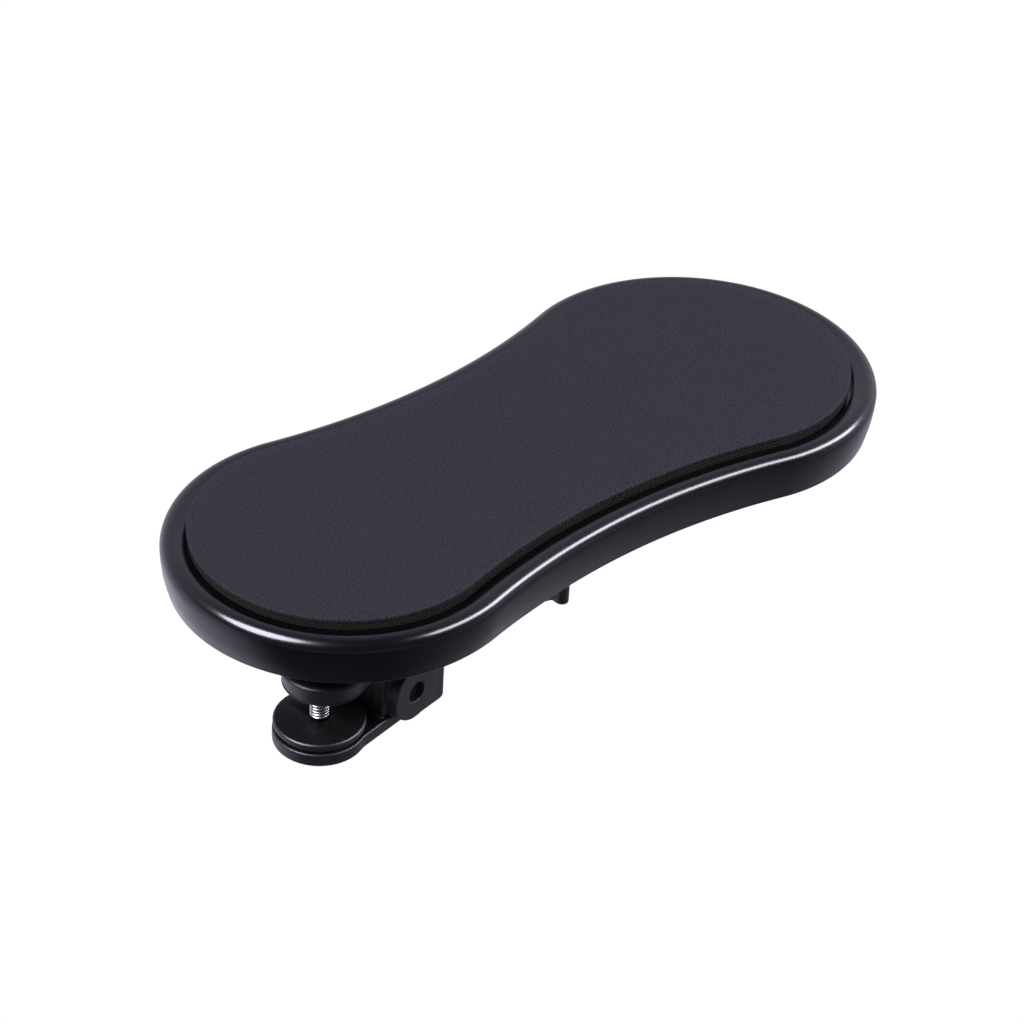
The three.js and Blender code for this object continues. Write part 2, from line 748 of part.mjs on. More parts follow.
const clampScrew = new THREE.Group();
armrest.add(clampScrew);
addPiece(clampScrew, "pressure_disc", makePressureDisc(), BLACK_NYLON);
addPiece(
  clampScrew,
  "disc_facing",
  cylinder(FACING_R, facingZ, facingZ + FACING_THICKNESS),
  RUBBER,
);
addPiece(clampScrew, "clamp_screw", makeScrewRod(), BRIGHT_STEEL);
addPiece(clampScrew, "screw_knob", makeScrewKnob(), BLACK_NYLON);
addPiece(clampScrew, "knob_lock_nut", makeLockNut(), BRIGHT_STEEL);

addPiece(armrest, "swing_arm", makeSwingArm(), BLACK_NYLON);

const swivel = new THREE.Group();
swivel.position.x = swivelX;
swivel.rotation.z = THREE.MathUtils.degToRad(-TRAY_TURN);
armrest.add(swivel);
addPiece(
  swivel,
  "swivel_washer",
  washer(SWIVEL_WASHER_R, BOLT_R + FIT, armTopZ + FIT, plateBottomZ - FIT),
  RUBBER,
);
addPiece(swivel, "tray", makeTray(), GLOSSY_BLACK);
addPiece(swivel, "swivel_plate", makeSwivelPlate(), DARK_STEEL);
plateScrewPlaces().forEach(([x, y], i) => {
  addPiece(swivel, "plate_screw_" + (i + 1), makePlateScrew(x, y), BRIGHT_STEEL);
});
addPiece(swivel, "swivel_bolt", makeSwivelBolt(), BRIGHT_STEEL);
addPiece(
  swivel,
  "knob_washer",
  washer(KNOB_WASHER_R, BOLT_R + FIT, knobWasherZ, knobWasherZ + KNOB_WASHER_THICKNESS),
  BRIGHT_STEEL,
);
addPiece(swivel, "star_knob", makeStarKnob(), BLACK_NYLON);
addPiece(
  swivel,
  "knob_insert",
  washer(KNOB_INSERT_R, BOLT_R + FIT, knobBottomZ + KNOB_FLOOR + FIT, knobTopZ),
  BRASS,
);
addPiece(
  swivel,
  "pad_foam",
  prism(padOutline(0), foamZ, foamZ + FOAM_THICKNESS),
  WOVEN_EDGE,
);
addPiece(
  swivel,
  "pad_cover",
  prism(padOutline(0), coverZ, coverZ + COVER_THICKNESS),
  LEATHERETTE,
);

export default armrest;
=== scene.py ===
"""Looks of the clamp-on armrest pad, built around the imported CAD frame. Metres, +Z up."""

import math

import bmesh
import bpy
from mathutils import Matrix, Vector, noise
from mathutils.geometry import delaunay_2d_cdt


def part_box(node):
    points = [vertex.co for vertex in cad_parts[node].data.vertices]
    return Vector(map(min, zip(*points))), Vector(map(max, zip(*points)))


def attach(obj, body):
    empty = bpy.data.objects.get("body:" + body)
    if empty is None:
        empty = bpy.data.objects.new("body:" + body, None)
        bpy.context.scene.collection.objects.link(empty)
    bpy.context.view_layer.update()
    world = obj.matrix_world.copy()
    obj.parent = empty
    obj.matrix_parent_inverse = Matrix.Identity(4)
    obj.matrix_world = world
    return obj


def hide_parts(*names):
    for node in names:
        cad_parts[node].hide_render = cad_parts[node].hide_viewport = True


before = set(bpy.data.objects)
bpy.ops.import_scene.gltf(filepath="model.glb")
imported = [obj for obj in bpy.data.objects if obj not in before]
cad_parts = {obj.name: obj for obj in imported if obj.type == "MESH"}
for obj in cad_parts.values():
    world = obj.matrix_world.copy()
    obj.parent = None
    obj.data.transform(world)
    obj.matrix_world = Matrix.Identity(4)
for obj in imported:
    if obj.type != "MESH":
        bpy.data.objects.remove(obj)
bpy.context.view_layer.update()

MM = 0.001
SWIVEL = Vector((0.095, 0.0, 0.0))  # a point on the swivel bolt's axis
TRAY_TURN = math.radians(-8.5)  # how far the tray is turned from the arm at rest
TRAY_FRAME = Matrix.Translation(SWIVEL) @ Matrix.Rotation(TRAY_TURN, 4, "Z")

# The pad's outline: two round lobes joined by concave sides, in millimetres.
PAD_LENGTH = 236.0
NEAR_R = 44.4
FAR_R = 49.0
WAIST_R = 233.0
TRAY_AHEAD = 0.8  # the tray's outline lies this far beyond the pad's, towards the far lobe
OUTLINE_STEP = 1.5  # between neighbouring points of the outline

# Heights, in millimetres, from the CAD nodes and the clearance between them.
FIT = 0.3
TRAY_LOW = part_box("tray")[0].z / MM
TRAY_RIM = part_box("tray")[1].z / MM
FOAM_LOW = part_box("pad_foam")[0].z / MM
FOAM_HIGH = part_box("pad_foam")[1].z / MM
COVER_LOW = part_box("pad_cover")[0].z / MM
COVER_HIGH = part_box("pad_cover")[1].z / MM
DECK = FOAM_LOW - FIT  # the floor of the tray's recess
CEILING = DECK - 2.5  # the top of the hollow underneath


# ---------------------------------------------------------------- materials


COOL_GLOSS = (0.88, 0.86, 1.0, 1.0)


def fill_ramp(node, stops):
    """Gives a colour ramp its (position, colour) stops."""
    elements = node.color_ramp.elements
    while len(elements) < len(stops):
        elements.new(0.5)
    for element, (position, colour) in zip(elements, stops):
        element.position = position
        element.color = (*colour, 1.0)


class Recipe:
    """A procedural material: one Principled shader and the nodes that feed it."""

    def __init__(self, name, **values):
        self.material = bpy.data.materials.new(name)
        self.material.use_nodes = True
        self.tree = self.material.node_tree
        self.shader = self.tree.nodes["Principled BSDF"]
        for socket, value in values.items():
            self.shader.inputs[socket.replace("_", " ")].default_value = value
        coordinates = self.add("ShaderNodeTexCoord")
        self.place = coordinates.outputs["Object"]
        self.uv = coordinates.outputs["UV"]

    def add(self, kind, inputs=None, **settings):
        node = self.tree.nodes.new(kind)
        for key, value in settings.items():
            setattr(node, key, value)
        for key, value in (inputs or {}).items():
            if isinstance(value, bpy.types.NodeSocket):
                self.tree.links.new(value, node.inputs[key])
            else:
                node.inputs[key].default_value = value
        return node

    def feed(self, socket, output):
        self.tree.links.new(output, self.shader.inputs[socket])

    def noise(self, scale, detail=4.0, roughness=0.6, source=None):
        inputs = {
            "Vector": source or self.place,
            "Scale": scale,
            "Detail": detail,
            "Roughness": roughness,
        }
        return self.add("ShaderNodeTexNoise", inputs).outputs["Fac"]

    def spread(self, source, low, high, to_low, to_high):
        inputs = {
            "Value": source,
            "From Min": low,
            "From Max": high,
            "To Min": to_low,
            "To Max": to_high,
        }
        return self.add("ShaderNodeMapRange", inputs).outputs["Result"]

    def tint(self, factor, *stops):
        ramp = self.add("ShaderNodeValToRGB", {"Fac": factor})
        fill_ramp(ramp, stops)
        return ramp.outputs["Color"]

    def calculate(self, operation, *values):
        """One Math node over sockets or numbers."""
        node = self.add("ShaderNodeMath", dict(enumerate(values)), operation=operation)
        return node.outputs["Value"]

    def sum_of(self, first, second, share):
        """The first value plus a share of the second."""
        return self.calculate("MULTIPLY_ADD", second, share, first)

    def bump(self, height, distance, strength=1.0, under=None):
        inputs = {"Height": height, "Distance": distance, "Strength": strength}
        if under is not None:
            inputs["Normal"] = under
        return self.add("ShaderNodeBump", inputs).outputs["Normal"]


def moulded(name, dark, light, rough, grain, depth, coat=0.0, coat_rough=0.1, wear=0.0):
    """Moulded plastic: a fine grain, patchy gloss, and edges rubbed a little lighter."""
    recipe = Recipe(name, IOR=1.53, Coat_Weight=coat, Coat_Roughness=coat_rough)
    recipe.shader.inputs["Specular Tint"].default_value = COOL_GLOSS
    patches = recipe.noise(38.0, 5.0)
    fine = recipe.noise(grain, 3.0, 0.5)
    colour = recipe.tint(patches, (0.3, dark), (0.7, light))
    if wear > 0:
        edge = recipe.add("ShaderNodeNewGeometry").outputs["Pointiness"]
        rubbed = recipe.spread(edge, 0.53, 0.62, 0.0, wear)
        worn = tuple(3.0 * c + 0.02 for c in light)
        inputs = {"Fac": rubbed, "Color1": colour, "Color2": (*worn, 1.0)}
        mix = recipe.add("ShaderNodeMixRGB", inputs)
        colour = mix.outputs["Color"]
    recipe.feed("Base Color", colour)
    mixed = recipe.sum_of(recipe.noise(9.0, 3.0), patches, 0.6)
    recipe.feed("Roughness", recipe.spread(mixed, 0.5, 1.1, rough[0], rough[1]))
    recipe.feed("Normal", recipe.bump(fine, depth))
    return recipe.material


def leatherette():
    """Pebbled synthetic leather: close rounded cells, with painted shade in the grooves between
    them.
    """
    recipe = Recipe(
        "pebbled_leatherette", Specular_IOR_Level=0.24, Sheen_Weight=0.03, Sheen_Roughness=0.5
    )
    recipe.shader.inputs["Sheen Tint"].default_value = (0.75, 0.72, 0.9, 1.0)
    drift = recipe.add(
        "ShaderNodeTexNoise", {"Vector": recipe.place, "Scale": 500.0, "Detail": 2.0}
    )
    wobble = recipe.add(
        "ShaderNodeVectorMath",
        {0: drift.outputs["Color"], 1: (0.0007, 0.0007, 0.0), 2: recipe.place},
        operation="MULTIPLY_ADD",
    ).outputs["Vector"]
    cells = recipe.add(
        "ShaderNodeTexVoronoi",
        {"Vector": wobble, "Scale": 1060.0, "Randomness": 0.45, "Smoothness": 0.2},
        feature="SMOOTH_F1",
        voronoi_dimensions="2D",
    ).outputs["Distance"]
    height = recipe.spread(cells, 0.1, 0.75, 1.0, 0.0)
    broad = recipe.noise(22.0, 4.0)
    # The colour follows the cells' height, so the grooves get painted shade; the broad noise adds a
    # real random tone.
    groove_shade_and_tone = recipe.sum_of(height, broad, 0.2)
    recipe.feed(
        "Base Color",
        recipe.tint(
            recipe.spread(groove_shade_and_tone, 0.1, 1.15, 0.0, 1.0),
            (0.0, (0.016, 0.0142, 0.025)),
            (0.45, (0.046, 0.042, 0.074)),
            (1.0, (0.070, 0.064, 0.110)),
        ),
    )
    recipe.feed("Roughness", recipe.spread(groove_shade_and_tone, 0.1, 1.2, 0.78, 0.58))
    creases = recipe.noise(130.0, 6.0, 0.65)
    recipe.feed("Normal", recipe.bump(height, 0.00024, 0.95, recipe.bump(creases, 0.00005, 0.4)))
    return recipe.material


def woven_edge():
    """Knitted backing at the pad's cut side: over-and-under threads with pale flecks."""
    recipe = Recipe("woven_edge", Specular_IOR_Level=0.2, Sheen_Weight=0.06, Sheen_Roughness=0.4)
    split = recipe.add("ShaderNodeSeparateXYZ", {"Vector": recipe.uv}).outputs
    thread = 6200.0  # radians of weave in a metre, so about one thread in a millimetre
    along = recipe.calculate("MULTIPLY", split["X"], thread)
    up = recipe.calculate("MULTIPLY", split["Y"], thread)
    warp = recipe.calculate("SINE", along)
    weft = recipe.calculate("SINE", up)
    crossing = recipe.calculate("MULTIPLY", warp, weft)
    frayed = recipe.sum_of(crossing, recipe.noise(1500.0, 3.0), 1.6)
    recipe.feed(
        "Base Color",
        recipe.tint(
            recipe.spread(frayed, -0.5, 1.5, 0.0, 1.0),
            (0.0, (0.0012, 0.0012, 0.0014)),
            (0.62, (0.0042, 0.0042, 0.0045)),
            (0.86, (0.085, 0.082, 0.076)),
        ),
    )
    recipe.feed("Roughness", recipe.spread(frayed, -0.5, 1.5, 0.95, 0.7))
    recipe.feed("Normal", recipe.bump(frayed, 0.0003, 0.9))
    return recipe.material


def rubber():
    """Matt black rubber with a fine grain."""
    recipe = Recipe("matte_rubber", Specular_IOR_Level=0.3)
    grain = recipe.noise(1400.0, 4.0)
    colour = recipe.tint(grain, (0.35, (0.008, 0.008, 0.009)), (0.7, (0.018, 0.018, 0.019)))
    recipe.feed("Base Color", colour)
    recipe.feed("Roughness", recipe.spread(grain, 0.3, 0.7, 0.95, 0.78))
    recipe.feed("Normal", recipe.bump(grain, 0.00008))
    return recipe.material


def metal(name, dark, light, rough):
    """Turned or plated metal: fine streaks and a slightly uneven polish."""
    streak, depth = (900.0, 900.0, 60.0), 0.00001
    recipe = Recipe(name, Metallic=1.0)
    stretched = recipe.add(
        "ShaderNodeVectorMath", {0: recipe.place, 1: streak}, operation="MULTIPLY"
    ).outputs["Vector"]
    lines = recipe.noise(1.0, 5.0, 0.65, stretched)
    patches = recipe.noise(120.0, 4.0)
    recipe.feed("Base Color", recipe.tint(patches, (0.3, dark), (0.7, light)))
    recipe.feed("Roughness", recipe.spread(lines, 0.3, 0.7, rough[0], rough[1]))
    recipe.feed("Normal", recipe.bump(lines, depth))
    return recipe.material


def threaded_steel():
    """Zinc-plated thread: bright crests, with painted shade that darkens the flanks and roots, told
    apart by distance from the axis.
    """
    # Radii in metres: the painted shade is darkest within the first, and the crest colour is full
    # beyond the second.
    root_shade_within, bright_beyond = 0.00235, 0.0027
    recipe = Recipe("threaded_zinc_steel", Metallic=1.0)
    flat = recipe.add(
        "ShaderNodeVectorMath", {0: recipe.place, 1: (1.0, 1.0, 0.0)}, operation="MULTIPLY"
    ).outputs["Vector"]
    radius = recipe.add("ShaderNodeVectorMath", {0: flat}, operation="LENGTH").outputs["Value"]
    # depth runs from 0 in the roots to 1 at the crests; the ramp below paints shade into the roots
    # and flanks.
    depth = recipe.spread(radius, root_shade_within, bright_beyond, 0.0, 1.0)
    recipe.feed(
        "Base Color",
        recipe.tint(
            depth,
            (0.0, (0.02, 0.018, 0.017)),
            (0.5, (0.2, 0.19, 0.19)),
            (1.0, (0.74, 0.73, 0.74)),
        ),
    )
    scuffed = recipe.noise(700.0, 4.0)
    recipe.feed("Roughness", recipe.spread(scuffed, 0.3, 0.7, 0.2, 0.4))
    recipe.feed("Normal", recipe.bump(scuffed, 0.00002))
    return recipe.material


BLACK_NYLON = moulded(
    "satin_black_nylon", (0.0098, 0.0098, 0.0118), (0.0145, 0.0145, 0.017), (0.34, 0.46),
    grain=1500.0, depth=0.000009, wear=0.06,
)
GLOSSY_BLACK = moulded(
    "glossy_black_shell", (0.0026, 0.0026, 0.0036), (0.004, 0.004, 0.0054), (0.17, 0.24),
    grain=900.0, depth=0.0000012, coat=0.1, coat_rough=0.15,
)
LEATHERETTE = leatherette()
WOVEN_EDGE = woven_edge()
RUBBER = rubber()
BRIGHT_STEEL = metal("bright_zinc_steel", (0.42, 0.43, 0.45), (0.62, 0.62, 0.63), (0.16, 0.36))
DARK_STEEL = metal("black_oxide_steel", (0.014, 0.013, 0.013), (0.03, 0.029, 0.029), (0.42, 0.6))
THREAD_STEEL = threaded_steel()
BRASS = metal("turned_brass", (0.5, 0.33, 0.12), (0.66, 0.46, 0.19), (0.22, 0.42))

FINISHES = {
    "black_nylon": BLACK_NYLON,
    "glossy_black": GLOSSY_BLACK,
    "leatherette": LEATHERETTE,
    "woven_edge": WOVEN_EDGE,
    "rubber": RUBBER,
    "bright_steel": BRIGHT_STEEL,
    "dark_steel": DARK_STEEL,
    "brass": BRASS,
}


# ------------------------------------------------------------ shared helpers


WELD_DISTANCE = 0.004 * MM
FLAT_ANGLE = math.radians(1.0)
SHARP_ANGLE = math.radians(30)


def publish(name, form, slot, body, *nodes, smooth=math.radians(32)):
    """Turns a bmesh, in metres and in the shared frame, into a piece that stands for CAD nodes."""
    bmesh.ops.recalc_face_normals(form, faces=form.faces)
    mesh = bpy.data.meshes.new(name)
    form.to_mesh(mesh)
    form.free()
    mesh.shade_smooth()
    mesh.set_sharp_from_angle(angle=smooth)
    piece = bpy.data.objects.new(name, mesh)
    bpy.context.scene.collection.objects.link(piece)
    mesh.materials.append(FINISHES[slot])
    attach(piece, body)
    if nodes:
        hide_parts(*nodes)
    return piece


def round_edges(form, width):
    """Bevels the sharp edges of a bmesh. The width is in the bmesh's own unit."""
    sharp = [
        edge for edge in form.edges
        if len(edge.link_faces) == 2 and edge.calc_face_angle(0) > SHARP_ANGLE
    ]
    bmesh.ops.bevel(
        form, geom=sharp, offset=width, offset_type="OFFSET", segments=2,
        profile=0.5, affect="EDGES", clamp_overlap=True,
    )


def bevelled(name, node, slot, body, width):
    """A CAD node's shape with its flat faces merged and its hard edges rounded."""
    form = bmesh.new()
    form.from_mesh(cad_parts[node].data)
    bmesh.ops.remove_doubles(form, verts=form.verts, dist=WELD_DISTANCE)
    bmesh.ops.dissolve_limit(
        form, angle_limit=FLAT_ANGLE, verts=form.verts, edges=form.edges
    )
    round_edges(form, width * MM)
    return publish(name, form, slot, body, node)


def softened(name, node, slot, body, voxel, passes, reshape=None):
    """A CAD node's shape remeshed finely and relaxed, as a moulding with small fillets all over."""
    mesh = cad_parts[node].data.copy()
    scratch = bpy.data.objects.new("scratch", mesh)
    bpy.context.scene.collection.objects.link(scratch)
    remesh = scratch.modifiers.new("remesh", "REMESH")
    remesh.mode = "VOXEL"
    remesh.voxel_size = voxel * MM
    remesh.adaptivity = 0.0
    relax = scratch.modifiers.new("relax", "SMOOTH")
    relax.factor = 0.5
    relax.iterations = passes
    bpy.context.view_layer.update()
    evaluated = scratch.evaluated_get(bpy.context.evaluated_depsgraph_get())
    form = bmesh.new()
    form.from_mesh(evaluated.to_mesh())
    evaluated.to_mesh_clear()
    bpy.data.objects.remove(scratch)
    bpy.data.meshes.remove(mesh)
    if reshape is not None:
        reshape(form)
    return publish(name, form, slot, body, node, smooth=math.radians(60))


def ring_strip(form, lower, upper):
    """Quads between two closed rings of vertices."""
    for i in range(len(lower)):
        j = (i + 1) % len(lower)
        form.faces.new((lower[i], lower[j], upper[j], upper[i]))


def slab(form, outline, low, high, edge):
    """Adds a block over an outline of (x, y), its edges rounded. Millimetres, tray's frame."""
    part = bmesh.new()
    bottom = [part.verts.new((x, y, low)) for x, y in outline]
    top = [part.verts.new((x, y, high)) for x, y in outline]
    part.faces.new(bottom)
    part.faces.new(top)
    ring_strip(part, bottom, top)
    bmesh.ops.recalc_face_normals(part, faces=part.faces)
    round_edges(part, edge)
    bmesh.ops.transform(part, matrix=Matrix.Scale(MM, 4), verts=part.verts)
    bmesh.ops.transform(part, matrix=TRAY_FRAME, verts=part.verts)
    scratch = bpy.data.meshes.new("scratch")
    part.to_mesh(scratch)
    part.free()
    form.from_mesh(scratch)
    bpy.data.meshes.remove(scratch)


def rectangle(low_x, high_x, low_y, high_y):
    return [(low_x, low_y), (high_x, low_y), (high_x, high_y), (low_x, high_y)]


def circle(radius, steps, x=0.0, y=0.0):
    angles = [2 * math.pi * i / steps for i in range(steps)]
    return [(x + radius * math.cos(a), y + radius * math.sin(a)) for a in angles]


def arc_points(x, y, radius, start, end, steps):
    """(x, y, normal x, normal y) along an arc, without its last point.

    A negative radius turns the normal inwards.
    """
    side = math.copysign(1.0, radius)
    points = []
    for i in range(steps):
        angle = start + (end - start) * i / steps
        across, up = math.cos(angle), math.sin(angle)
        spot = (x + abs(radius) * across, y + abs(radius) * up)
        points.append((*spot, side * across, side * up))
    return points


def pad_path():
    """The pad's outline as (x, y, normal x, normal y, length so far). Millimetres, tray's frame."""
    near_x = -PAD_LENGTH / 2 + NEAR_R
    far_x = PAD_LENGTH / 2 - FAR_R
    span = far_x - near_x
    to_near = WAIST_R + NEAR_R
    to_far = WAIST_R + FAR_R
    along = (to_near**2 - to_far**2 + span**2) / (2 * span)
    across = math.sqrt(to_near**2 - along**2)
    near_angle = math.atan2(across, along)
    far_angle = math.atan2(across, along - span)
    waist_x = near_x + along
    lobe_steps = round(2 * far_angle * FAR_R / OUTLINE_STEP)
    waist_steps = round(abs(far_angle - near_angle) * WAIST_R / OUTLINE_STEP)
    half_turn = math.pi
    waist = (-WAIST_R, far_angle - half_turn, near_angle - half_turn, waist_steps)
    other_waist = (-WAIST_R, half_turn - near_angle, half_turn - far_angle, waist_steps)
    points = [
        *arc_points(far_x, 0, FAR_R, -far_angle, far_angle, lobe_steps),
        *arc_points(waist_x, across, *waist),
        *arc_points(near_x, 0, NEAR_R, near_angle, 2 * half_turn - near_angle, lobe_steps),
        *arc_points(waist_x, -across, *other_waist),
    ]
    path, length = [], 0.0
    for i, point in enumerate(points):
        path.append((*point, length))
        after = points[(i + 1) % len(points)]
        length += math.hypot(after[0] - point[0], after[1] - point[1])
    return path


PATH = pad_path()


def offset_outline(offset, ahead=0.0):
    return [(x + nx * offset + ahead, y + ny * offset) for x, y, nx, ny, _ in PATH]


def swept(form, profile, ahead=0.0):
    """Makes and returns rings round the outline, one for each (offset, height) of the profile."""
    rings = []
    for offset, height in profile:
        ring = []
        for x, y in offset_outline(offset, ahead):
            ring.append(form.verts.new(TRAY_FRAME @ Vector((x * MM, y * MM, height * MM))))
        rings.append(ring)
    for lower, upper in zip(rings, rings[1:]):
        ring_strip(form, lower, upper)
    return rings


def quarter(x, z, rx, rz, start, end, steps):
    """Points on part of an ellipse, ends included. Angles in degrees."""
    points = []
    for i in range(steps + 1):
        angle = math.radians(start + (end - start) * i / steps)
        points.append((x + rx * math.cos(angle), z + rz * math.sin(angle)))
    return points


# -------------------------------------------------------------------- tray


# The tray's section, in millimetres. Offsets are measured outwards from the pad's outline.
TRAY_LIP = 8.2  # the wall's widest point
TRAY_DRAFT = 1.5  # how far the wall draws in towards its foot
TRAY_WALL = 2.6
TRAY_SHOULDER = 4.3
RECESS_GAP = 0.45  # the pad's side to the recess's wall
HOLLOW = TRAY_LIP - TRAY_DRAFT - TRAY_WALL


def make_tray():
    """The tray's shell: one section swept round the outline, closed at deck and ceiling."""
    foot = TRAY_LIP - TRAY_DRAFT
    crest = TRAY_LIP - TRAY_SHOULDER
    wall_top = TRAY_RIM - TRAY_SHOULDER
    rim_fall, rim_curve, rim_steps = 0.7, 1.3, 16
    bulge, foot_round, inner_round, fillet = 0.28, 0.45, 0.4, 0.8
    form = bmesh.new()
    profile = [
        (RECESS_GAP, DECK),
        (RECESS_GAP, TRAY_RIM - 1.15),
        (RECESS_GAP + 0.08, TRAY_RIM - 0.9),
        *[
            (
                RECESS_GAP + 0.25 + (crest + 0.15 - RECESS_GAP) * t,
                TRAY_RIM - rim_fall * (1.0 - t) ** rim_curve,
            )
            for t in (i / rim_steps for i in range(rim_steps + 1))
        ],
        *quarter(crest + 0.4, wall_top, TRAY_SHOULDER - 0.4, TRAY_SHOULDER, 88, 8, 20),
        *[
            (
                TRAY_LIP - TRAY_DRAFT * t + bulge * math.sin(math.pi * t),
                wall_top + (TRAY_LOW + 0.5 - wall_top) * t,
            )
            for t in (i / 10 for i in range(1, 10))
        ],
        *quarter(foot - foot_round, TRAY_LOW + foot_round, foot_round, foot_round, 0, -90, 4),
        *quarter(
            HOLLOW + inner_round, TRAY_LOW + inner_round, inner_round, inner_round, -90, -180, 3
        ),
        (HOLLOW, CEILING - fillet),
        *quarter(HOLLOW - fillet, CEILING - fillet, fillet, fillet, 0, 90, 3),
    ]
    rings = swept(form, profile, TRAY_AHEAD)
    # The wall's lower edge rises towards the near lobe.
    lift, lift_start, lift_run, lift_height = 1.1, 35.0, 40.0, 6.0
    inverse = TRAY_FRAME.inverted()
    for ring in rings:
        for vert in ring:
            near = min(1.0, max(0.0, (-(inverse @ vert.co).x / MM - lift_start) / lift_run))
            low = max(0.0, 1.0 - (vert.co.z / MM - TRAY_LOW) / lift_height)
            vert.co.z += lift * MM * near * near * (3.0 - 2.0 * near) * low
    form.faces.new(rings[0])
    form.faces.new(rings[-1])
    return form


def rib_reach(x):
    """Half the hollow's width at x, in the tray's frame."""
    outline = offset_outline(HOLLOW, TRAY_AHEAD)
    return max(
        abs(y1 + (y2 - y1) * (x - x1) / (x2 - x1))
        for (x1, y1), (x2, y2) in zip(outline, outline[1:] + outline[:1])
        if (x1 - x) * (x2 - x) <= 0 and x1 != x2
    )


def add_underside(form):
    """Adds the ribs, the plate's screw bosses and the swivel's hub in the hollow."""
    rib_low, top = CEILING - 3.0, CEILING + 0.5
    half, rib_edge, into_wall = 0.9, 0.35, 1.2
    long_rib_y, first_cross_x, cross_pitch = 14.0, 12.0, 24.0
    for side in (-1, 1):
        y = side * long_rib_y
        xs = [px for px, py in offset_outline(HOLLOW, TRAY_AHEAD) if abs(py - y) < 2.0]
        long_rib = rectangle(min(xs) - into_wall, max(xs) + into_wall, y - half, y + half)
        slab(form, long_rib, rib_low, top, rib_edge)
        for i in (1, 2, 3):
            x = side * (first_cross_x + i * cross_pitch) + TRAY_AHEAD
            reach = rib_reach(x) + into_wall
            slab(form, rectangle(x - half, x + half, -reach, reach), rib_low, top, rib_edge)
    boss_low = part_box("swivel_plate")[1].z / MM + FIT
    boss_place, boss_radius, hub_radius = 17.5, 4.6, 10.0
    for x in (-boss_place, boss_place):
        for y in (-boss_place, boss_place):
            slab(form, circle(boss_radius, 32, x, y), boss_low, top, 0.4)
    slab(form, circle(hub_radius, 48), TRAY_LOW + 0.1, top, 0.5)


tray_form = make_tray()
add_underside(tray_form)
publish("tray_shell", tray_form, "glossy_black", "tray", "tray")


# --------------------------------------------------------------------- pad


def undulation(point, scale, height):
    """Slow unevenness of a soft surface, in metres."""
    return height * noise.noise(Vector((point.x, point.y, 0.0)) * scale)


def capped(form, ring, lift):
    """Fills the ring with an evenly spaced mesh whose height is lift(x, y) in the tray's frame."""
    inverse = TRAY_FRAME.inverted()
    border = [inverse @ v.co for v in ring]
    edge_points = [Vector((p.x, p.y)) for p in border]
    step = 0.004  # between neighbouring points, in metres
    row_share = 0.866  # a row's height in a grid of equal triangles
    edge_share = 0.55  # the nearest that a point comes to the edge
    low_x = min(p.x for p in edge_points)
    high_x = max(p.x for p in edge_points)
    low_y = min(p.y for p in edge_points)
    high_y = max(p.y for p in edge_points)
    count = len(edge_points)

    def inside(x, y):
        crossings = 0
        for i in range(count):
            a, b = edge_points[i], edge_points[(i + 1) % count]
            if (a.y > y) != (b.y > y) and x < a.x + (b.x - a.x) * (y - a.y) / (b.y - a.y):
                crossings += 1
        return crossings % 2 == 1

    points = list(edge_points)
    rows = int((high_y - low_y) / (step * row_share)) + 1
    for r in range(rows):
        y = low_y + r * step * row_share
        x = low_x + (step / 2 if r % 2 else 0.0)
        while x < high_x:
            near = min((p.x - x) ** 2 + (p.y - y) ** 2 for p in edge_points)
            if near > (edge_share * step) ** 2 and inside(x, y):
                points.append(Vector((x, y)))
            x += step
    edges = [(i, (i + 1) % count) for i in range(count)]
    made, _, faces, *_ = delaunay_2d_cdt(points, edges, [], 1, 1e-7)
    verts = list(ring)
    for p in made[count:]:
        verts.append(form.verts.new(TRAY_FRAME @ Vector((p.x, p.y, lift(p.x, p.y)))))
    for face in faces:
        form.faces.new([verts[i] for i in face])


def make_cover():
    """The leatherette face: a thin sheet, rolled over at its edge and slightly crowned."""
    form = bmesh.new()
    low = COVER_LOW - 0.22
    top = COVER_HIGH
    profile = [
        (-2.5, low + 0.1),
        (-0.35, low),
        *quarter(-0.3, low + 0.3, 0.3, 0.3, -90, 0, 3),
        *quarter(-0.35, top - 0.4, 0.35, 0.35, 0, 80, 5),
        (-0.9, top + 0.03),
        (-2.0, top + 0.12),
        (-3.4, top + 0.22),
        (-5.0, top + 0.29),
    ]
    rings = swept(form, profile)

    def lift(x, y):
        spot = Vector((x, y, 0.0))
        broad, fine = undulation(spot, 26.0, 0.00012), undulation(spot, 70.0, 0.00004)
        return (top + 0.32) * MM + broad + fine

    capped(form, rings[-1], lift)
    form.faces.new(rings[0])
    return publish("pad_leatherette", form, "leatherette", "tray", "pad_cover")


def make_foam():
    """The padding under the leatherette, wrapped at its side in a woven backing."""
    form = bmesh.new()
    low, high = FOAM_LOW, FOAM_HIGH + 0.1
    height = high - low
    profile = [(-1.4, low), (-0.8, low + 0.05)]
    for i in range(13):
        t = i / 12
        bulge = 0.35 * math.sin(math.pi * t) ** 0.7
        profile.append((-0.55 + bulge, low + 0.2 + (height - 0.3) * t))
    profile.append((-1.2, high))
    rings = swept(form, profile)
    form.faces.new(rings[0])
    form.faces.new(rings[-1])
    layer = form.loops.layers.uv.new("UVMap")
    lengths = {}
    for ring, (_, z) in zip(rings, profile):
        for vert, point in zip(ring, PATH):
            lengths[vert] = (point[4] * MM, z * MM)
    total = PATH[-1][4] * MM
    for face in form.faces:
        values = [lengths[loop.vert] for loop in face.loops]
        wraps = max(v[0] for v in values) - min(v[0] for v in values) > total / 2
        for loop, (u, v) in zip(face.loops, values):
            if wraps and len(values) == 4 and u < total / 2:
                u += total + OUTLINE_STEP * MM
            loop[layer].uv = (u, v)
    return publish("pad_woven_side", form, "woven_edge", "tray", "pad_foam")


make_cover()
make_foam()


# -------------------------------------------------------------------- clamp


JAW_AXIS_X = 1.9  # the axis of the upper jaw's round end, in millimetres


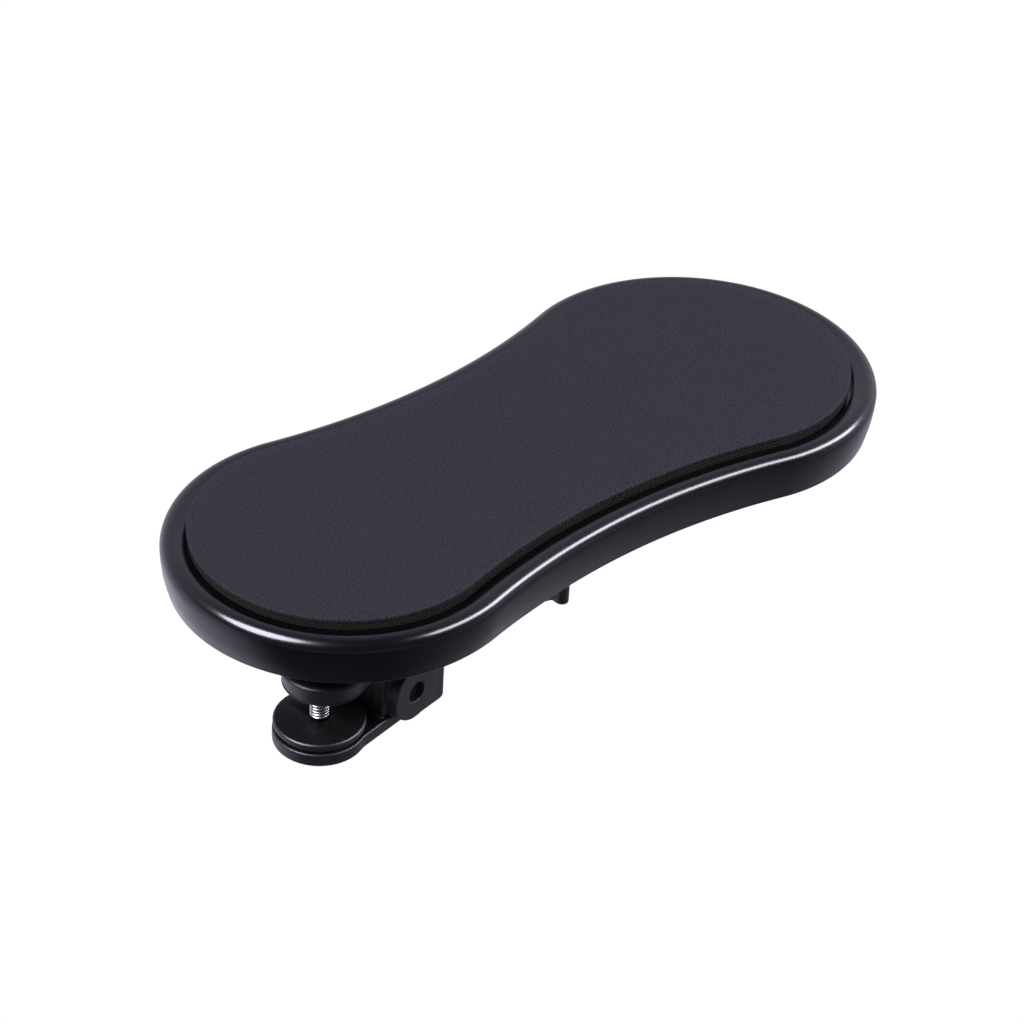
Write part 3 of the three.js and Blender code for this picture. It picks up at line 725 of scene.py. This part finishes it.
def drawn_in(form):
    """Rounds the upper jaw's upper edge and tapers its round end towards its lower edge."""
    low, high, inset = 14.8, 21.0, 1.1
    top, round_over = 22.2, 1.7
    fork_x, fade = 9.0, 5.0  # where the fork block begins, and how fast the changes fade before it
    rim_radius, side_radius = 8.0, 10.0  # only what lies further out than this moves

    def pull_in(vert, x, y, from_axis, distance):
        scale = 1.0 - distance / from_axis
        vert.co.x = (JAW_AXIS_X + (x - JAW_AXIS_X) * scale) * MM
        vert.co.y = y * scale * MM

    for vert in form.verts:
        x, y, z = vert.co / MM
        from_axis = math.hypot(x - JAW_AXIS_X, y)
        rise = min(round_over, z - (top - round_over))
        if rise > 0 and x < fork_x and from_axis > rim_radius:
            pull = round_over - math.sqrt(round_over**2 - rise**2)
            ease = min(1.0, (fork_x - x) / fade) * min(1.0, (from_axis - rim_radius) / 3.0)
            pull_in(vert, x, y, from_axis, pull * ease)
        if low - 0.5 < z < high and x < fork_x and from_axis > side_radius:
            share = (high - max(z, low)) / (high - low)
            ease = min(1.0, (fork_x - x) / fade)
            pull_in(vert, x, y, from_axis, inset * share * ease)


softened("clamp_body", "clamp_frame", "black_nylon", "clamp", 0.26, 3, reshape=drawn_in)
softened("swing_arm_moulding", "swing_arm", "black_nylon", "arm", 0.35, 4)
softened("star_knob_moulding", "star_knob", "black_nylon", "star_knob", 0.3, 5)
bevelled("pressure_foot_disc", "pressure_disc", "black_nylon", "pressure_foot", 0.25)
bevelled("foot_facing", "disc_facing", "rubber", "pressure_foot", 0.2)
bevelled("jaw_grip_pad", "lower_jaw_pad", "rubber", "clamp", 0.2)
bevelled("screw_thumb_knob", "screw_knob", "black_nylon", "screw", 0.2)
bevelled("screw_lock_nut", "knob_lock_nut", "bright_steel", "screw", 0.3)
bevelled("hinge_pin_turned", "hinge_pin", "dark_steel", "clamp", 0.35)
bevelled("brass_thread_insert", "thread_insert", "brass", "clamp", 0.15)
bevelled("fork_washer_l", "fork_washer_left", "bright_steel", "clamp", 0.15)
bevelled("fork_washer_r", "fork_washer_right", "bright_steel", "clamp", 0.15)
bevelled("swivel_plate_pressed", "swivel_plate", "dark_steel", "tray", 0.35)
bevelled("swivel_wear_washer", "swivel_washer", "rubber", "tray", 0.2)
bevelled("swivel_bolt_hex", "swivel_bolt", "bright_steel", "tray", 0.4)
bevelled("knob_thrust_washer", "knob_washer", "bright_steel", "knob_washer", 0.2)
bevelled("knob_brass_insert", "knob_insert", "brass", "star_knob", 0.2)
for number in (1, 2, 3, 4):
    bevelled(f"plate_screw_turned_{number}", f"plate_screw_{number}", "bright_steel", "tray", 0.3)


def make_jaw_lip():
    """The fine raised lip round the upper jaw, just above its lower edge."""
    radius, z = 11.98, 15.75
    start, sweep = 62.0, 236.0
    sunk, half_width, half_height = 0.12, 0.34, 0.3
    around, across, taper_rate = 72, 8, 12.0
    form = bmesh.new()
    rings = []
    for k in range(around + 1):
        angle = math.radians(start + sweep * k / around)
        taper = min(1.0, taper_rate * min(k, around - k) / around)
        ring = []
        for m in range(across):
            turn = 2 * math.pi * m / across
            out = radius - sunk + (half_width * math.cos(turn)) * taper
            up = z + half_height * math.sin(turn) * taper
            x, y = JAW_AXIS_X + out * math.cos(angle), out * math.sin(angle)
            ring.append(form.verts.new((x * MM, y * MM, up * MM)))
        rings.append(ring)
    for lower, upper in zip(rings, rings[1:]):
        ring_strip(form, lower, upper)
    publish("upper_jaw_lip", form, "black_nylon", "clamp")


make_jaw_lip()


def make_threaded_screw():
    """The M6 clamp screw with its real one-millimetre thread, above the plain riveted neck."""
    low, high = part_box("clamp_screw")
    bottom, top = low.z / MM, high.z / MM
    neck_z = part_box("pressure_disc")[1].z / MM + FIT
    pitch, crest, root = 1.0, 2.85, 2.28
    root_flat, flank_share, run_out = 0.14, 0.7, 0.8
    centre, neck, rivet_edge, rivet = 0.001, 2.3, 3.45, 3.6  # radii
    around, per_turn = 48, 10
    form = bmesh.new()

    def plain_ring(radius, z):
        return [form.verts.new((x * MM, y * MM, z * MM)) for x, y in circle(radius, around)]

    rings = [
        plain_ring(radius, z)
        for radius, z in (
            (centre, bottom),
            (rivet_edge, bottom),
            (rivet, bottom + 0.12),
            (rivet, bottom + 0.4),
            (rivet_edge, bottom + 0.5),
            (neck, bottom + 0.52),
            (neck, neck_z),
            (root, neck_z + 0.05),
        )
    ]
    for step in range(int((top - 0.5 - neck_z) * per_turn / pitch)):
        z = neck_z + 0.12 + pitch * step / per_turn
        run_in = min(1.0, (z - neck_z) / run_out, (top - z) / run_out)
        ring = []
        for i in range(around):
            angle = 2 * math.pi * i / around
            phase = (z / pitch - i / around) % 1.0
            flank = abs(2 * phase - 1)
            lift = min(1.0, max(0.0, (flank - root_flat) / flank_share))
            radius = root + (crest - root) * lift * run_in
            x, y = radius * math.cos(angle), radius * math.sin(angle)
            ring.append(form.verts.new((x * MM, y * MM, z * MM)))
        rings.append(ring)
    rings += [plain_ring(root, top - 0.1), plain_ring(root - 0.2, top), plain_ring(centre, top)]
    for lower, upper in zip(rings, rings[1:]):
        ring_strip(form, lower, upper)
    form.faces.new(rings[0])
    form.faces.new(rings[-1])
    piece = publish(
        "clamp_screw_threaded", form, "bright_steel", "screw", "clamp_screw",
        smooth=math.radians(50),
    )
    piece.data.materials[0] = THREAD_STEEL


make_threaded_screw()


# ------------------------------------------------------------ camera, light


# The camera, fitted to the photographed pad's outline. Angles in degrees, lens in millimetres.
CAMERA_AZIMUTH, CAMERA_ELEVATION, CAMERA_ROLL = -53.58, 34.97, 3.5
CAMERA_LENS, SENSOR_WIDTH = 91.30, 36.0
PAD_TOP = Vector((0.095, 0.0, 0.0535))
HALF_PAD = 0.118
CAMERA_OFFSET = (-0.0576, -0.1984, 6.545)  # right, up and back from PAD_TOP, in half pads


def make_camera():
    """Makes the camera. Returns the level direction to its right and the direction towards it."""
    azimuth, elevation = math.radians(CAMERA_AZIMUTH), math.radians(CAMERA_ELEVATION)
    roll = math.radians(CAMERA_ROLL)
    flat = math.cos(elevation)
    back = Vector((math.sin(azimuth) * flat, -math.cos(azimuth) * flat, math.sin(elevation)))
    level = Vector((math.cos(azimuth), math.sin(azimuth), 0.0))
    rise = back.cross(level)
    right = math.cos(roll) * level + math.sin(roll) * rise
    up = -math.sin(roll) * level + math.cos(roll) * rise
    data = bpy.data.cameras.new("camera")
    data.lens = CAMERA_LENS
    data.sensor_width = SENSOR_WIDTH
    data.clip_start, data.clip_end = 0.01, 50.0
    camera = bpy.data.objects.new("camera", data)
    bpy.context.scene.collection.objects.link(camera)
    turn = Matrix((right, up, back)).transposed().to_4x4()
    to_right, to_up, to_back = CAMERA_OFFSET
    place = PAD_TOP + HALF_PAD * (to_right * right + to_up * up + to_back * back)
    camera.matrix_world = Matrix.Translation(place) @ turn
    bpy.context.scene.camera = camera
    return level, back


SIDE, BACK = make_camera()
FRONT = Vector((BACK.x, BACK.y, 0.0)).normalized()
MIDDLE = Vector((0.095, 0.0, 0.045))
LIGHT_DISTANCE = 1.3


def strip_light(name, shape, direction, width, height, power, roll):
    """An area light aimed at the middle of the object, which only shows in its gloss."""
    data = bpy.data.lights.new(name, "AREA")
    data.shape = shape
    data.size, data.size_y = width, height
    data.energy = power
    lamp = bpy.data.objects.new(name, data)
    bpy.context.scene.collection.objects.link(lamp)
    direction = direction.normalized()
    lamp.location = MIDDLE + direction * LIGHT_DISTANCE
    lamp.rotation_mode = "QUATERNION"
    turn = Matrix.Rotation(math.radians(roll), 3, "Z").to_quaternion()
    lamp.rotation_quaternion = direction.to_track_quat("Z", "Y") @ turn
    lamp.visible_camera = False
    lamp.visible_diffuse = False


def aim(azimuth, elevation):
    """A direction from the object. In degrees: azimuth 0 is towards the camera, 90 to its right."""
    around, above = math.radians(azimuth), math.radians(elevation)
    flat = FRONT * math.cos(around) + SIDE * math.sin(around)
    return flat * math.cos(above) + Vector((0.0, 0.0, math.sin(above)))


strip_light("left_strip", "ELLIPSE", aim(-51.5, 41.0), 0.95, 0.72, 36.0, 20.0)
strip_light("right_strip", "RECTANGLE", aim(90.0, 34.5), 1.32, 0.34, 27.0, -33.0)


def make_world():
    """A pale studio that is darker on the camera's side, above the floor."""
    world = bpy.data.worlds.new("studio")
    world.use_nodes = True
    tree = world.node_tree
    nodes, links = tree.nodes, tree.links
    background = nodes["Background"]
    coordinates = nodes.new("ShaderNodeTexCoord")
    dot = nodes.new("ShaderNodeVectorMath")
    dot.operation = "DOT_PRODUCT"
    links.new(coordinates.outputs["Generated"], dot.inputs[0])
    dot.inputs[1].default_value = aim(3.0, 20.0)
    shade = nodes.new("ShaderNodeMapRange")
    shade.interpolation_type = "SMOOTHSTEP"
    shade.inputs["From Min"].default_value = -0.35
    shade.inputs["From Max"].default_value = 0.6
    shade.inputs["To Min"].default_value = 0.62
    shade.inputs["To Max"].default_value = 0.1
    links.new(dot.outputs["Value"], shade.inputs["Value"])
    seen = nodes.new("ShaderNodeLightPath")
    pick = nodes.new("ShaderNodeMix")
    links.new(seen.outputs["Is Camera Ray"], pick.inputs["Factor"])
    links.new(shade.outputs["Result"], pick.inputs["A"])
    pick.inputs["B"].default_value = 1.1
    background.inputs["Color"].default_value = (0.97, 0.94, 1.12, 1.0)
    links.new(pick.outputs["Result"], background.inputs["Strength"])
    bpy.context.scene.world = world


make_world()


def studio_sheet(name, half_width, location, material):
    """A level square, which the caller stages."""
    form = bmesh.new()
    bmesh.ops.create_grid(form, x_segments=2, y_segments=2, size=half_width)
    mesh = bpy.data.meshes.new(name)
    form.to_mesh(mesh)
    form.free()
    mesh.materials.append(material)
    sheet = bpy.data.objects.new(name, mesh)
    bpy.context.scene.collection.objects.link(sheet)
    sheet.location = location
    return sheet


def mixed_surface(tree, share, first, second):
    """Makes a mix of two shader outputs the material's surface."""
    mix = tree.nodes.new("ShaderNodeMixShader")
    tree.links.new(share, mix.inputs["Fac"])
    tree.links.new(first, mix.inputs[1])
    tree.links.new(second, mix.inputs[2])
    tree.links.new(mix.outputs["Shader"], tree.nodes["Material Output"].inputs["Surface"])


def floor_material():
    """Pale and slightly glowing from above, clear from underneath."""
    material = bpy.data.materials.new("pale_floor")
    material.use_nodes = True
    tree = material.node_tree
    shader = tree.nodes["Principled BSDF"]
    shader.inputs["Base Color"].default_value = (0.3, 0.3, 0.3, 1.0)
    shader.inputs["Roughness"].default_value = 1.0
    shader.inputs["Specular IOR Level"].default_value = 0.0
    shader.inputs["Emission Color"].default_value = (1.0, 1.0, 1.0, 1.0)
    shader.inputs["Emission Strength"].default_value = 0.92
    clear = tree.nodes.new("ShaderNodeBsdfTransparent")
    geometry = tree.nodes.new("ShaderNodeNewGeometry")
    mixed_surface(
        tree, geometry.outputs["Backfacing"], shader.outputs["BSDF"], clear.outputs["BSDF"]
    )
    return material


def make_floor():
    """A plain pale floor, well below the lowest reach of the swinging arm."""
    floor = studio_sheet("floor", 12.0, (0.1, 0.0, -0.26), floor_material())


# How much of the floor the card hides, by azimuth: 0 is towards the camera and 90 to its right.
CARD_SHADE = (
    (-180, 0.5), (-150, 0.38), (-120, 0.0), (-72, 0.04), (-58, 0.3), (-46, 0.78),
    (-36, 0.93), (20, 0.95), (50, 0.85), (95, 0.7), (140, 0.47), (180, 0.5),
)


def card_material():
    """Black that covers by azimuth round the card's middle, over a faint cool tint."""
    material = bpy.data.materials.new("shading_card")
    material.use_nodes = True
    tree = material.node_tree
    dark = tree.nodes.new("ShaderNodeEmission")
    dark.inputs["Color"].default_value = (0.0, 0.0, 0.0, 1.0)
    place = tree.nodes.new("ShaderNodeTexCoord")
    split = tree.nodes.new("ShaderNodeSeparateXYZ")
    tree.links.new(place.outputs["Object"], split.inputs["Vector"])
    around = tree.nodes.new("ShaderNodeMath")
    around.operation = "ARCTAN2"
    tree.links.new(split.outputs["Y"], around.inputs[0])
    tree.links.new(split.outputs["X"], around.inputs[1])
    turned = tree.nodes.new("ShaderNodeMapRange")
    turned.inputs["From Min"].default_value = -math.pi
    turned.inputs["From Max"].default_value = math.pi
    tree.links.new(around.outputs["Value"], turned.inputs["Value"])
    share = tree.nodes.new("ShaderNodeValToRGB")
    tree.links.new(turned.outputs["Result"], share.inputs["Fac"])
    fill_ramp(
        share, [((azimuth + 180.0) / 360.0, (cover,) * 3) for azimuth, cover in CARD_SHADE]
    )
    clear = tree.nodes.new("ShaderNodeBsdfTransparent")
    clear.inputs["Color"].default_value = (0.87, 0.86, 1.0, 1.0)
    mixed_surface(tree, share.outputs["Color"], clear.outputs["BSDF"], dark.outputs["Emission"])
    return material


def make_flag():
    """A shading card just above the floor, darkest in front, which only reflections see."""
    flag = studio_sheet("flag", 5.0, (MIDDLE.x, MIDDLE.y, -0.25), card_material())
    flag.rotation_euler = (0.0, 0.0, math.atan2(FRONT.y, FRONT.x))
    flag.visible_camera = False
    flag.visible_shadow = False
    flag.visible_diffuse = False


make_floor()
make_flag()
bpy.context.scene.view_settings.view_transform = "Standard"
